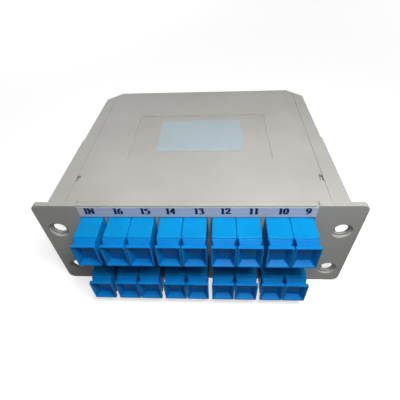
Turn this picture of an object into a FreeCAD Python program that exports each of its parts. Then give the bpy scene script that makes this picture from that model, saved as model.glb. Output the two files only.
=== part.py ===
import FreeCAD
import Part
import Sketcher
import math
import os
import re

# A plug-in PLC fibre splitter cassette, in millimetres.
#
# A moulded housing carries a wide front panel with two rows of nine SC adapters, each closed
# by a dust cap. A snap-in cover closes the housing. Inside, one plug is seated behind each
# adapter in use, and its fibre is wound round six tabs and runs to the splitter module.
#
# Frame: +X to the right seen from the front, +Y into the cassette, +Z up. The origin is at the
# middle of the part's footprint, on the surface that the cassette rests on. Sketches are drawn
# in the panel frame, whose Y is measured back from the panel's front face, and each sub-part's
# placement moves it from there. In a sketch on the XZ plane the direction out of the sheet
# points forward, so a distance "ahead" is positive in front of the panel.

DIMENSIONS = (
    ("panel_width", 130, "front panel, side to side"),
    ("panel_height", 50, "front panel and housing, bottom to top"),
    ("panel_thickness", 2.3, "front panel"),
    ("panel_corner", 3, "radius of the panel's four corners"),
    ("panel_edge", 0.4, "chamfer of the panel's front edge"),
    ("tray_depth", 95.5, "panel front face to the back of the housing"),
    ("tray_front_half", 58.2, "half the housing's width at the panel"),
    ("tray_step_half", 57.5, "half the width in front of the snap notch"),
    ("tray_notch_half", 56.8, "half the width at the bottom of the snap notch"),
    ("tray_back_half", 56.3, "half the width where the back corners start"),
    ("notch_front", 44.8, "start of the snap notch"),
    ("notch_deepest", 46.4, "deepest place of the snap notch"),
    ("notch_back", 49.2, "end of the snap notch"),
    ("corner_back", 88, "where the slanted back corners start"),
    ("corner_half", 48.5, "half the width of the straight back wall"),
    ("wall", 2, "moulded walls"),
    ("floor_thickness", 2, "floor of the housing"),
    ("rail_roof", 2.4, "top of the side rails"),
    ("inner_half", 49.9, "half the width of the inside"),
    ("rail_inner_half", 52.2, "inner wall of the hollow side rails"),
    ("rail_front_half", 56, "outer side of the rail hollow, front half"),
    ("rail_rear_half", 54.6, "outer side of the rail hollow, rear half"),
    ("rail_rib", 2, "cross ribs in the side rails"),
    ("first_rib", 24, "front of the first cross rib, behind the panel's front face"),
    ("second_rib", 43, "front of the second cross rib"),
    ("third_rib", 64, "front of the third cross rib"),
    ("cover_half", 51.2, "half the width of the cover's seat"),
    ("cover_gap", 0.08, "seam round the cover"),
    ("cover_front_gap", 0.05, "seam between the cover and the panel"),
    ("cover_thickness", 2, "cover plate"),
    ("skirt_drop", 3, "locating rib under the cover"),
    ("skirt_thickness", 1.4, "locating rib under the cover"),
    ("skirt_gap", 0.2, "between the locating rib and the walls"),
    ("recess_width", 65, "label recess in the cover"),
    ("recess_depth", 39, "label recess in the cover, front to back"),
    ("recess_front", 29.5, "front edge of the label recess"),
    ("recess_sink", 0.45, "depth of the label recess"),
    ("label_width", 40, "label"),
    ("label_depth", 27.5, "label, front to back"),
    ("label_front", 35.7, "front edge of the label"),
    ("label_thickness", 0.12, "label"),
    ("latch_place", 16.3, "middle of the latch notches"),
    ("latch_length", 3.9, "latch notches"),
    ("latch_width", 1.6, "latch notches"),
    ("hook_length", 3, "hooks of the housing in the latch notches"),
    ("hook_reach", 0.8, "hooks of the housing in the latch notches"),
    ("hook_top", 1.2, "top of the hooks, under the cover's top face"),
    ("strip_half", 46, "half the length of the number strip"),
    ("strip_low", 44.1, "lower edge of the number strip"),
    ("strip_high", 49.2, "upper edge of the number strip"),
    ("strip_thickness", 0.15, "number strip"),
    ("tick_width", 0.7, "locating ticks in the panel's top edge"),
    ("tick_depth", 0.5, "locating ticks in the panel's top edge"),
    ("fixing_half", 58, "panel holes, from the middle"),
    ("fixing_low", 9.5, "height of the lower panel holes"),
    ("fixing_high", 35.5, "height of the upper panel holes"),
    ("fixing_radius", 2.85, "panel holes"),
    ("fixing_seat_radius", 3.9, "seat round each panel hole"),
    ("fixing_seat_sink", 1.1, "depth of that seat"),
    ("fixing_mouth", 0.4, "chamfer round that seat"),
    ("relief_half", 53.7, "inner side of the relief behind the panel holes"),
    ("relief_depth", 10, "relief behind the panel holes, front to back"),
    ("relief_height", 11, "relief behind the panel holes"),
    ("port_first", -41.5, "middle of the left-hand ports"),
    ("port_pitch", 9.3, "port to port within a pair"),
    ("group_gap", 2, "extra space between pairs"),
    ("upper_row", 36.9, "height of the upper row of ports"),
    ("lower_row", 11.9, "height of the lower row of ports"),
    ("adapter_width", 9.2, "adapter, side to side"),
    ("adapter_height", 12.8, "adapter, bottom to top"),
    ("adapter_corner", 0.4, "chamfer of the adapter's long edges"),
    ("adapter_front", 9.9, "adapter in front of the panel"),
    ("adapter_rear", 17, "adapter behind the panel's front face"),
    ("window_gap", 0.1, "space round the adapters in the panel"),
    ("lip_width", 6, "stop lips behind the panel"),
    ("lip_reach", 0.6, "stop lips behind the panel"),
    ("lip_length", 1.2, "stop lips behind the panel"),
    ("lip_gap", 0.05, "between the stop lips and the panel"),
    ("socket_width", 7.5, "socket for the plug"),
    ("socket_height", 9.1, "socket for the plug"),
    ("web_thickness", 2, "wall between the two sockets"),
    ("key_height", 2.4, "key groove in the socket"),
    ("key_depth", 0.5, "key groove in the socket"),
    ("barrel_radius", 2.5, "barrel round the alignment sleeve"),
    ("barrel_length", 13, "barrel round the alignment sleeve"),
    ("barrel_bore", 1.7, "bore of the barrel"),
    ("sleeve_radius", 1.6, "alignment sleeve, outside"),
    ("sleeve_bore", 1.28, "alignment sleeve, inside"),
    ("sleeve_length", 11.4, "alignment sleeve"),
    ("cap_width", 9.1, "dust cap at the adapter"),
    ("cap_gap", 0.15, "seam between cap and adapter"),
    ("cap_spread", 0.2, "how far the two caps of a pair hold each other apart, each"),
    ("cap_shoulder", 10.6, "front of the cap's shoulder, ahead of the panel"),
    ("shoulder_width", 8.6, "front edge of the cap's shoulder"),
    ("shoulder_height", 12.6, "front edge of the cap's shoulder"),
    ("cap_waist", 12.6, "back of the cap's head, ahead of the panel"),
    ("cap_front", 14, "front of the cap's head, ahead of the panel"),
    ("waist_width", 7.8, "narrowest place of the cap's neck"),
    ("waist_height", 10.4, "narrowest place of the cap's neck"),
    ("head_width", 9.5, "cap's head"),
    ("head_height", 12, "cap's head"),
    ("head_drop", 0.45, "middle of the head below the adapter's middle"),
    ("funnel_width", 8.6, "mouth of the funnel in the head"),
    ("funnel_height", 10.9, "mouth of the funnel in the head"),
    ("funnel_sink", 2.5, "depth of the funnel"),
    ("funnel_floor_width", 5.3, "floor of the funnel"),
    ("funnel_floor_height", 8.1, "floor of the funnel"),
    ("skirt_width", 7, "square tube of the cap, in the socket"),
    ("skirt_height", 8.8, "square tube of the cap, in the socket"),
    ("skirt_end", 2, "inner end of the square tube, ahead of the panel"),
    ("skirt_wall", 0.7, "square tube of the cap"),
    ("skirt_floor", 1, "wall between the square tube's hollow and the funnel"),
    ("plug_width", 7.3, "inner plug"),
    ("plug_height", 8.9, "inner plug"),
    ("plug_front", 5, "front of the inner plug, behind the panel face"),
    ("plug_back", 26, "back of the inner plug's housing"),
    ("plug_bore", 5.5, "square hollow round the ferrule"),
    ("plug_hollow", 6.3, "depth of that hollow"),
    ("ferrule_radius", 1.2, "ferrule"),
    ("boot_back", 38, "end of the boot"),
    ("boot_width", 5.2, "boot at the plug"),
    ("boot_tip", 2.6, "boot at its end"),
    ("turn_half", 30, "middles of the winding's turns, from the cassette's middle"),
    ("turn_place", 66, "middles of the winding's turns, behind the panel face"),
    ("tab_reach", 14.8, "fibre tabs, from the middle of their turn to their outer face"),
    ("tab_width", 6, "fibre tabs"),
    ("tab_height", 28, "fibre tabs"),
    ("winding_radius", 15.2, "inside of the fibre winding"),
    ("winding_thickness", 4, "fibre winding"),
    ("winding_height", 26, "fibre winding"),
    ("fibre_radius", 0.45, "fibre tails"),
    ("module_length", 60, "splitter module"),
    ("module_thickness", 4, "splitter module"),
    ("module_height", 7, "splitter module"),
    ("module_place", 90.5, "middle of the splitter module"),
    ("module_edge", 0.6, "chamfer of the splitter module"),
    ("clip_width", 3, "posts that hold the splitter module"),
    ("clip_thickness", 1.2, "posts that hold the splitter module"),
    ("clip_height", 8, "posts that hold the splitter module"),
    ("clip_half", 20, "posts that hold the splitter module, from the middle"),
)

ALIASES = {alias for alias, value, meaning in DIMENSIONS}

# Ports from left to right. The first lower port has no number and stays spare.
UPPER_PORTS = ("in", "16", "15", "14", "13", "12", "11", "10", "09")
LOWER_PORTS = ("spare", "08", "07", "06", "05", "04", "03", "02", "01")

# The small round features inside the ports repeat 18 times, so they have few flats.
PORT_SIDES = 12
FIBRE_SIDES = 6

document = FreeCAD.newDocument("splitter_cassette")
dims = document.addObject("Spreadsheet::Sheet", "dims")
nodes = []


def fill_sheet():
    """Write the driving dimensions into the sheet, one row each."""
    for row, (alias, value, meaning) in enumerate(DIMENSIONS, start=1):
        dims.set(f"A{row}", alias)
        dims.set(f"B{row}", str(value))
        dims.setAlias(f"B{row}", alias)
        dims.set(f"C{row}", meaning)
    document.recompute()


def bound(formula):
    """Turn a formula in plain dimension names into one that reads the sheet."""

    def cell(match):
        word = match.group()
        return f"dims.{word}" if word in ALIASES else word

    return re.sub(r"[a-z][a-z_]*", cell, formula)


def number(formula):
    """Work out a formula now, in millimetres."""
    return float(dims.evalExpression(bound(formula)))


def place(item, x="0", y="0", z="0"):
    """Tie an object's position to formulas; y is measured back from the panel's front face."""
    item.setExpression("Placement.Base.x", bound(x))
    item.setExpression("Placement.Base.y", bound(f"{y} - (tray_depth - cap_front) / 2"))
    item.setExpression("Placement.Base.z", bound(z))


def keep(item, label):
    """Name a sub-part and put it on the list of what is written out."""
    item.Label = label
    nodes.append(item)
    return item


def new_body(label, x="0", z="0"):
    body = document.addObject("PartDesign::Body", f"{label}_body")
    place(body, x=x, z=z)
    return keep(body, label)


def origin_feature(body, role):
    return next(item for item in body.Origin.OriginFeatures if item.Role == role)


def new_sketch(body, name, plane="XZ_Plane", offset="0"):
    """Attach a sketch to one of the body's own planes, moved along its normal."""
    sketch = body.newObject("Sketcher::SketchObject", name)
    sketch.AttachmentSupport = [(origin_feature(body, plane), "")]
    sketch.MapMode = "FlatFace"
    sketch.setExpression("AttachmentOffset.Base.z", bound(offset))
    return sketch


def pin_point(sketch, geometry, position, x, y):
    """Hold one point of a sketch at the formulas x and y."""
    for kind, formula, axis in (("DistanceX", x, -2), ("DistanceY", y, -1)):
        value = number(formula)
        if value == 0:
            sketch.addConstraint(Sketcher.Constraint("PointOnObject", geometry, position, axis))
            continue
        held = sketch.addConstraint(Sketcher.Constraint(kind, -1, 1, geometry, position, value))
        sketch.setExpression(f"Constraints[{held}]", bound(formula))


def add_polygon(sketch, points):
    """Draw a closed outline through points given as pairs of formulas."""
    corners = [FreeCAD.Vector(number(x), number(y), 0) for x, y in points]
    first = sketch.GeometryCount
    for start, end in zip(corners, corners[1:] + corners[:1]):
        sketch.addGeometry(Part.LineSegment(start, end))
    for index, (x, y) in enumerate(points):
        following = (index + 1) % len(points)
        joint = Sketcher.Constraint("Coincident", first + index, 2, first + following, 1)
        sketch.addConstraint(joint)
        pin_point(sketch, first + index, 1, x, y)


def add_rectangle(sketch, width, height, x="0", y="0", corner=None):
    """Draw a rectangle round (x, y), with cut corners where a corner size is given."""
    left, right = f"{x} - ({width}) / 2", f"{x} + ({width}) / 2"
    low, high = f"{y} - ({height}) / 2", f"{y} + ({height}) / 2"
    if corner is None:
        add_polygon(sketch, [(left, low), (right, low), (right, high), (left, high)])
        return
    add_polygon(sketch, [
        (f"{left} + {corner}", low), (f"{right} - {corner}", low),
        (right, f"{low} + {corner}"), (right, f"{high} - {corner}"),
        (f"{right} - {corner}", high), (f"{left} + {corner}", high),
        (left, f"{high} - {corner}"), (left, f"{low} + {corner}"),
    ])


def add_circle(sketch, radius, x="0", y="0"):
    centre = FreeCAD.Vector(number(x), number(y), 0)
    index = sketch.addGeometry(Part.Circle(centre, FreeCAD.Vector(0, 0, 1), number(radius)))
    size = sketch.addConstraint(Sketcher.Constraint("Radius", index, number(radius)))
    sketch.setExpression(f"Constraints[{size}]", bound(radius))
    pin_point(sketch, index, 3, x, y)


def mirrored(points):
    """Close a right-hand outline with its mirror image in the left half."""
    return points + [(f"-({x})", y) for x, y in reversed(points)]


def extrude(body, kind, sketch, length, reverse=False):
    """Add a Pad or a Pocket of a sketch."""
    feature = body.newObject(f"PartDesign::{kind}", f"{sketch.Name}_{kind.lower()}")
    feature.Profile = sketch
    feature.Reversed = reverse
    feature.setExpression("Length", bound(length))
    sketch.Visibility = False
    return feature


def add_wedge(body, kind, name, front, back):
    """Add or cut a tapered block along Y; each end is (place, width, height, middle's Z)."""
    feature = body.newObject(f"PartDesign::{kind}", name)
    for mark, (y, width, height, z) in (("", front), ("2", back)):
        feature.setExpression(f"X{mark}min", bound(f"-({width}) / 2"))
        feature.setExpression(f"X{mark}max", bound(f"({width}) / 2"))
        feature.setExpression(f"Z{mark}min", bound(f"{z} - ({height}) / 2"))
        feature.setExpression(f"Z{mark}max", bound(f"{z} + ({height}) / 2"))
    feature.setExpression("Ymin", bound(front[0]))
    feature.setExpression("Ymax", bound(back[0]))
    return feature


def add_post(body, kind, name, radius, ahead, length):
    """Add or cut a nearly round post with PORT_SIDES flats, from ahead of the panel back."""
    feature = body.newObject(f"PartDesign::{kind}", name)
    feature.AttachmentSupport = [(origin_feature(body, "XZ_Plane"), "")]
    feature.MapMode = "FlatFace"
    feature.setExpression("AttachmentOffset.Base.z", bound(f"{ahead} - ({length})"))
    feature.Polygon = PORT_SIDES
    feature.setExpression("Circumradius", bound(radius))
    feature.setExpression("Height", bound(length))
    return feature


def dress(body, kind, base, size_name, size, choose):
    """Round or chamfer the edges of a feature that choose() accepts."""
    document.recompute()
    edges = [
        f"Edge{index}"
        for index, edge in enumerate(base.Shape.Edges, start=1)
        if choose(edge)
    ]
    feature = body.newObject(f"PartDesign::{kind}", f"{base.Name}_{kind.lower()}")
    feature.Base = (base, edges)
    feature.setExpression(size_name, bound(size))
    return feature


def ports():
    """List every port as its name and its place formulas, from left to right."""
    found = []
    for names, height in ((UPPER_PORTS, "upper_row"), (LOWER_PORTS, "lower_row")):
        for index, name in enumerate(names):
            gaps = (index + 1) // 2
            across = f"port_first + {index} * port_pitch + {gaps} * group_gap"
            found.append((name, across, height))
    return found


def cap_place(name, across):
    """Move a paired cap out from its port's middle; the first cap of a row stands alone."""
    index = (UPPER_PORTS if name in UPPER_PORTS else LOWER_PORTS).index(name)
    side = 0 if index == 0 else -1 if index % 2 else 1
    return f"{across} + {side} * cap_spread"


def port_windows():
    """List the panel's openings, one for the first port and one for each pair."""
    found = []
    for height in ("upper_row", "lower_row"):
        found.append(("port_first", height, "adapter_width"))
        for pair in range(4):
            across = f"port_first + {2 * pair + 1.5} * port_pitch + {pair + 1} * group_gap"
            found.append((across, height, "adapter_width + port_pitch"))
    return found


def tray_outline():
    """Right half of the housing seen from above, from the panel to the back wall."""
    return [
        ("tray_front_half", "panel_thickness"),
        ("tray_step_half", "notch_front"),
        ("tray_notch_half", "notch_deepest"),
        ("tray_notch_half + 0.2", "notch_back"),
        ("tray_back_half", "corner_back"),
        ("corner_half", "tray_depth"),
    ]


def plate_outline(half, front, inset):
    """Right half of a plate that follows the slanted back corner, moved in by inset."""
    slant = "(tray_back_half - corner_half) / (tray_depth - corner_back)"
    back = f"tray_depth - ({inset})"
    shift = f"0.4 * ({inset})"
    return [
        (half, front),
        (half, f"corner_back + (tray_back_half - ({half})) / ({slant}) - 1.4 * ({inset})"),
        (f"corner_half - {shift}", back),
    ]


def build_housing():
    """Mould the tray, its front panel and everything that stands in it."""
    body = new_body("housing")
    add_panel(body)
    add_tray(body)
    hollow_tray(body)
    hollow_rails(body)
    add_fixings(body)
    add_port_windows(body)
    add_latch_seats(body)
    add_fibre_tabs(body)


def add_panel(body):
    sketch = new_sketch(body, "panel")
    add_rectangle(sketch, "panel_width", "panel_height", y="panel_height / 2")
    plate = extrude(body, "Pad", sketch, "panel_thickness", reverse=True)
    short = 1.5 * number("panel_thickness")
    corners = dress(body, "Fillet", plate, "Radius", "panel_corner",
                    lambda edge: edge.Length < short)
    dress(body, "Chamfer", corners, "Size", "panel_edge",
          lambda edge: edge.BoundBox.YLength < 0.01 and edge.CenterOfMass.y < 0.01)


def add_tray(body):
    sketch = new_sketch(body, "tray", "XY_Plane")
    add_polygon(sketch, mirrored(tray_outline()))
    extrude(body, "Pad", sketch, "panel_height")


def hollow_tray(body):
    seat = new_sketch(body, "cover_seat", "XY_Plane", "panel_height")
    outline = plate_outline("cover_half", "panel_thickness", "0")
    behind = [("cover_half", "tray_depth + wall")]
    add_polygon(seat, mirrored(outline[:1] + behind))
    extrude(body, "Pocket", seat, "cover_thickness")
    inside = new_sketch(body, "inside", "XY_Plane", "panel_height")
    add_polygon(inside, mirrored(plate_outline("inner_half", "panel_thickness", "wall")))
    extrude(body, "Pocket", inside, "panel_height - floor_thickness")


def hollow_rails(body):
    """Core the side rails out from below, leaving cross ribs."""
    sketch = new_sketch(body, "rails", "XY_Plane")
    bays = (
        ("panel_thickness + wall", "first_rib", "rail_front_half"),
        ("first_rib + rail_rib", "second_rib", "rail_front_half"),
        ("second_rib + rail_rib", "third_rib", "rail_rear_half"),
        ("third_rib + rail_rib", "corner_back - rail_rib", "rail_rear_half"),
    )
    for side in (1, -1):
        for front, back, outer in bays:
            width = f"{outer} - rail_inner_half"
            middle = f"{side} * ({outer} + rail_inner_half) / 2"
            add_rectangle(sketch, width, f"{back} - ({front})", middle,
                          f"({back} + {front}) / 2")
    extrude(body, "Pocket", sketch, "panel_height - rail_roof", reverse=True)


def add_fixings(body):
    """Drill the four panel holes and clear the side walls behind them."""
    corners = [
        (f"{side} * fixing_half", height)
        for side in (1, -1)
        for height in ("fixing_low", "fixing_high")
    ]
    seat = new_sketch(body, "fixing_seats")
    for across, height in corners:
        add_circle(seat, "fixing_seat_radius", across, height)
    seats = extrude(body, "Pocket", seat, "fixing_seat_sink")
    mouth = number("fixing_seat_radius")
    dress(body, "Chamfer", seats, "Size", "fixing_mouth", lambda edge: is_mouth(edge, mouth))
    hole = new_sketch(body, "fixing_holes")
    for across, height in corners:
        add_circle(hole, "fixing_radius", across, height)
    extrude(body, "Pocket", hole, "panel_thickness")
    for height in ("fixing_high", "fixing_low"):
        relief = new_sketch(body, f"{height}_relief", "XY_Plane", f"{height} + relief_height / 2")
        for side in (1, -1):
            add_rectangle(relief, "panel_width / 2 - relief_half", "relief_depth",
                          f"{side} * (panel_width / 2 + relief_half) / 2",
                          "panel_thickness + relief_depth / 2")
        extrude(body, "Pocket", relief, "relief_height")


def is_mouth(edge, radius):
    """Tell whether an edge is a full circle of this radius on the panel's front face."""
    if not isinstance(edge.Curve, Part.Circle):
        return False
    return abs(edge.Curve.Radius - radius) < 0.01 and abs(edge.CenterOfMass.y) < 0.01


def add_port_windows(body):
    sketch = new_sketch(body, "port_windows")
    for across, height, width in port_windows():
        add_rectangle(sketch, f"{width} + 2 * window_gap", "adapter_height + 2 * window_gap",
                      across, height)
    extrude(body, "Pocket", sketch, "panel_thickness")
    ticks = new_sketch(body, "panel_ticks", "XY_Plane", "panel_height")
    for side in (1, -1):
        add_rectangle(ticks, "tick_width", "2 * panel_thickness", f"{side} * strip_half", "0")
    extrude(body, "Pocket", ticks, "tick_depth")


def add_latch_seats(body):
    """Open the cover's seat under the latch notches and leave a hook in each."""
    sketch = new_sketch(body, "latch_seats", "XY_Plane", "panel_height - cover_thickness")
    for side in (1, -1):
        add_rectangle(sketch, "cover_half - inner_half", "latch_length",
                      f"{side} * (cover_half + inner_half) / 2", "latch_place")
    extrude(body, "Pocket", sketch, "2 * wall")
    hooks = new_sketch(body, "hooks", "XY_Plane", "panel_height - hook_top")
    for side in (1, -1):
        add_rectangle(hooks, "hook_reach", "hook_length",
                      f"{side} * (cover_half - hook_reach / 2)", "latch_place")
    extrude(body, "Pad", hooks, "2 * wall", reverse=True)


def add_fibre_tabs(body):
    """Stand the tabs inside the winding and the module's posts on the floor."""
    tabs = new_sketch(body, "fibre_tabs", "XY_Plane", "floor_thickness")
    inset = "(tab_reach - wall / 2)"
    for side in (1, -1):
        for face in (1, -1):
            add_rectangle(tabs, "tab_width", "wall", f"{side} * turn_half",
                          f"turn_place + {face} * {inset}")
        add_rectangle(tabs, "wall", "tab_width", f"{side} * (turn_half + {inset})",
                      "turn_place")
    extrude(body, "Pad", tabs, "tab_height")
    clips = new_sketch(body, "module_posts", "XY_Plane", "floor_thickness")
    reach = "(module_thickness + clip_thickness) / 2 + 0.1"
    for side in (1, -1):
        for face in (1, -1):
            add_rectangle(clips, "clip_width", "clip_thickness", f"{side} * clip_half",
                          f"module_place + {face} * ({reach})")
    extrude(body, "Pad", clips, "clip_height")


def build_cover():
    """Mould the cover plate with its locating rib, label recess and latch notches."""
    body = new_body("cover")
    plate = new_sketch(body, "plate", "XY_Plane", "panel_height - cover_thickness")
    front = "panel_thickness + cover_front_gap"
    outline = plate_outline("cover_half - cover_gap", front, "0")
    add_polygon(plate, mirrored(outline))
    extrude(body, "Pad", plate, "cover_thickness")
    rib = new_sketch(body, "locating_rib", "XY_Plane", "panel_height - cover_thickness")
    outer = "inner_half - skirt_gap"
    add_polygon(rib, mirrored(plate_outline(outer, "2 * wall", "wall + skirt_gap")))
    add_polygon(rib, mirrored(plate_outline(
        f"{outer} - skirt_thickness", "2 * wall + skirt_thickness",
        "wall + skirt_gap + skirt_thickness")))
    extrude(body, "Pad", rib, "skirt_drop", reverse=True)
    recess = new_sketch(body, "label_recess", "XY_Plane", "panel_height")
    add_rectangle(recess, "recess_width", "recess_depth", "0", "recess_front + recess_depth / 2")
    extrude(body, "Pocket", recess, "recess_sink")
    notches = new_sketch(body, "latch_notches", "XY_Plane", "panel_height")
    for side in (1, -1):
        add_rectangle(notches, "latch_width + wall", "latch_length",
                      f"{side} * (cover_half + (wall - latch_width) / 2)", "latch_place")
    extrude(body, "Pocket", notches, "cover_thickness")


def build_plate(label, width, depth, height, x, y, z):
    """Make one thin self-adhesive piece as a box, from its lowest corner."""
    plate = document.addObject("Part::Box", f"{label}_plate")
    plate.setExpression("Length", bound(width))
    plate.setExpression("Width", bound(depth))
    plate.setExpression("Height", bound(height))
    place(plate, x, y, z)
    return keep(plate, label)


def socket_outline():
    """Outline of an SC socket seen from the front, with its key groove on the right."""
    half, tall = "socket_width / 2", "socket_height / 2"
    groove = f"{half} + key_depth"
    return [
        (f"-({half})", f"-({tall})"), (half, f"-({tall})"),
        (half, "-key_height / 2"), (groove, "-key_height / 2"),
        (groove, "key_height / 2"), (half, "key_height / 2"),
        (half, tall), (f"-({half})", tall),
    ]


def build_adapter(name, across, height):
    """Mould one SC adapter: two sockets back to back, with a barrel through their web."""
    body = new_body(f"adapter_{name}", across, height)
    case = new_sketch(body, f"case_{name}", offset="-adapter_rear")
    add_rectangle(case, "adapter_width", "adapter_height", corner="adapter_corner")
    extrude(body, "Pad", case, "adapter_front + adapter_rear")
    lips = new_sketch(body, f"lips_{name}", offset="-panel_thickness - lip_gap")
    add_rectangle(lips, "lip_width", "adapter_height + 2 * lip_reach")
    extrude(body, "Pad", lips, "lip_length", reverse=True)
    socket_length = "(adapter_front + adapter_rear - web_thickness) / 2"
    for end, offset in (("front", "adapter_front"), ("rear", "-adapter_rear")):
        socket = new_sketch(body, f"{end}_socket_{name}", offset=offset)
        add_polygon(socket, socket_outline())
        extrude(body, "Pocket", socket, socket_length, reverse=end == "rear")
    barrel_front = "(adapter_front - adapter_rear + barrel_length) / 2"
    add_post(body, "AdditivePrism", f"barrel_{name}", "barrel_radius", barrel_front,
             "barrel_length")
    add_post(body, "SubtractivePrism", f"bore_{name}", "barrel_bore", barrel_front,
             "barrel_length")


def build_dust_cap(name, across, height):
    """Mould one dust cap: shoulder, waisted neck, head with a funnel, and a square tube."""
    body = new_body(f"dust_cap_{name}", across, height)
    back = "adapter_front + cap_gap"
    shoulder = ("-cap_shoulder", "shoulder_width", "shoulder_height", "0")
    add_wedge(body, "AdditiveWedge", f"shoulder_{name}", shoulder,
              (f"-({back})", "cap_width", "adapter_height", "0"))
    add_wedge(body, "AdditiveWedge", f"neck_{name}",
              ("-cap_waist", "waist_width", "waist_height", "-head_drop"), shoulder)
    head = new_sketch(body, f"head_{name}", offset="cap_waist")
    add_rectangle(head, "head_width", "head_height", y="-head_drop", corner="adapter_corner")
    extrude(body, "Pad", head, "cap_front - cap_waist")
    add_wedge(body, "SubtractiveWedge", f"funnel_{name}",
              ("-cap_front", "funnel_width", "funnel_height", "-head_drop"),
              ("funnel_sink - cap_front", "funnel_floor_width", "funnel_floor_height",
               "-head_drop"))
    tube = new_sketch(body, f"tube_{name}", offset="skirt_end")
    add_rectangle(tube, "skirt_width", "skirt_height")
    extrude(body, "Pad", tube, f"{back} - skirt_end")
    hollow = new_sketch(body, f"tube_hollow_{name}", offset="skirt_end")
    add_rectangle(hollow, "skirt_width - 2 * skirt_wall", "skirt_height - 2 * skirt_wall")
    extrude(body, "Pocket", hollow, "cap_front - funnel_sink - skirt_floor - skirt_end",
            reverse=True)


def build_plug(name, across, height):
    """Make one inner SC plug with its ferrule, and its boot turned round the fibre."""
    body = new_body(f"inner_plug_{name}", across, height)
    case = new_sketch(body, f"plug_case_{name}", offset="-plug_back")
    add_rectangle(case, "plug_width", "plug_height")
    extrude(body, "Pad", case, "plug_back - plug_front")
    hollow = new_sketch(body, f"plug_hollow_{name}", offset="-plug_front")
    add_rectangle(hollow, "plug_bore", "plug_bore")
    extrude(body, "Pocket", hollow, "plug_hollow")
    middle = "(adapter_rear - adapter_front) / 2"
    add_post(body, "AdditivePrism", f"ferrule_{name}", "ferrule_radius", f"-({middle})",
             f"plug_front + plug_hollow - {middle}")
    add_wedge(body, "AdditiveWedge", f"boot_{name}",
              ("plug_back", "boot_width", "boot_width", "0"),
              ("boot_back", "boot_tip", "boot_tip", "0"))


def lying_post(name, radius, length, x, y, z):
    """Make a nearly round post along Y that starts at (x, y, z)."""
    post = document.addObject("Part::Prism", name)
    post.Polygon = PORT_SIDES
    post.Placement.Rotation = FreeCAD.Rotation(FreeCAD.Vector(1, 0, 0), -90)
    post.setExpression("Circumradius", bound(radius))
    post.setExpression("Height", bound(length))
    place(post, x, y, z)
    return post


def build_sleeves():
    """Put one ceramic sleeve in every adapter's barrel."""
    sleeves = []
    start = "(adapter_rear - adapter_front - sleeve_length) / 2"
    for name, across, height in ports():
        tube = document.addObject("Part::Cut", f"sleeve_{name}")
        tube.Base = lying_post(f"sleeve_outside_{name}", "sleeve_radius", "sleeve_length",
                                   across, start, height)
        tube.Tool = lying_post(f"sleeve_inside_{name}", "sleeve_bore", "sleeve_length",
                                   across, start, height)
        sleeves.append(tube)
    group = document.addObject("Part::Compound", "sleeve_group")
    group.Links = sleeves
    keep(group, "alignment_sleeves")


def build_module():
    """Make the splitter module's slim case."""
    body = new_body("plc_module")
    sketch = new_sketch(body, "module_case", "XY_Plane", "floor_thickness")
    add_rectangle(sketch, "module_length", "module_thickness", y="module_place",
                  corner="module_edge")
    extrude(body, "Pad", sketch, "module_height")


def racetrack(name, radius):
    """Fuse two upright cylinders and the block between them."""
    ends = []
    for side, word in ((1, "right"), (-1, "left")):
        end = document.addObject("Part::Cylinder", f"{name}_{word}")
        end.setExpression("Radius", bound(radius))
        end.setExpression("Height", bound("winding_height"))
        place(end, f"{side} * turn_half", "turn_place", "floor_thickness")
        ends.append(end)
    block = document.addObject("Part::Box", f"{name}_middle")
    block.setExpression("Length", bound("2 * turn_half"))
    block.setExpression("Width", bound(f"2 * ({radius})"))
    block.setExpression("Height", bound("winding_height"))
    place(block, "-turn_half", f"turn_place - ({radius})", "floor_thickness")
    track = document.addObject("Part::MultiFuse", name)
    track.Shapes = ends + [block]
    return track


def fibre(name, start, end):
    """Run one straight tail between two points of the panel frame."""
    tail = document.addObject("Part::Prism", name)
    run = end - start
    tail.Polygon = FIBRE_SIDES
    tail.setExpression("Circumradius", bound("fibre_radius"))
    tail.Height = run.Length
    shift = FreeCAD.Vector(0, -number("(tray_depth - cap_front) / 2"), 0)
    turn = FreeCAD.Rotation(FreeCAD.Vector(0, 0, 1), run)
    tail.Placement = FreeCAD.Placement(start + shift, turn)
    return tail


def winding_front(across):
    """Find how far back the middle of the winding's front run lies at a place across."""
    turn = number("turn_half")
    middle_radius = number("winding_radius + winding_thickness / 2")
    beyond = max(abs(across) - turn, 0)
    return number("turn_place") - math.sqrt(middle_radius ** 2 - beyond ** 2)


def build_harness():
    """Wind the fibre round the tabs and run its tails to the plugs and the module."""
    winding = document.addObject("Part::Cut", "winding")
    winding.Base = racetrack("winding_outside", "winding_radius + winding_thickness")
    winding.Tool = racetrack("winding_inside", "winding_radius")
    pieces = [winding]
    top = number("floor_thickness + winding_height - 2")
    for name, across, height in ports():
        if name == "spare":
            continue
        x, z = number(across), number(height)
        target_x = math.copysign(min(abs(x), number("turn_half + 10")), x)
        start = FreeCAD.Vector(x, number("boot_back"), z)
        end = FreeCAD.Vector(target_x, winding_front(target_x), min(z, top))
        pieces.append(fibre(f"tail_{name}", start, end))
    lift = number("floor_thickness + module_height / 2")
    for side, word in ((1, "right"), (-1, "left")):
        start = FreeCAD.Vector(side * number("module_length / 2"), number("module_place"), lift)
        reach = number("turn_half + 8")
        back = 2 * number("turn_place") - winding_front(reach)
        pieces.append(fibre(f"module_tail_{word}", start, FreeCAD.Vector(side * reach, back, lift)))
    harness = document.addObject("Part::MultiFuse", "harness")
    harness.Shapes = pieces
    keep(harness, "fibre_harness")


def check_document():
    """Stop if any object failed or any sub-part has no valid shape."""
    for item in document.Objects:
        if "Invalid" in item.State or "Error" in item.State:
            raise RuntimeError(f"{item.Label} did not build: {item.State}")
    for node in nodes:
        if node.Shape.isNull() or not node.Shape.isValid():
            raise RuntimeError(f"{node.Label} has no valid shape")


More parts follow.
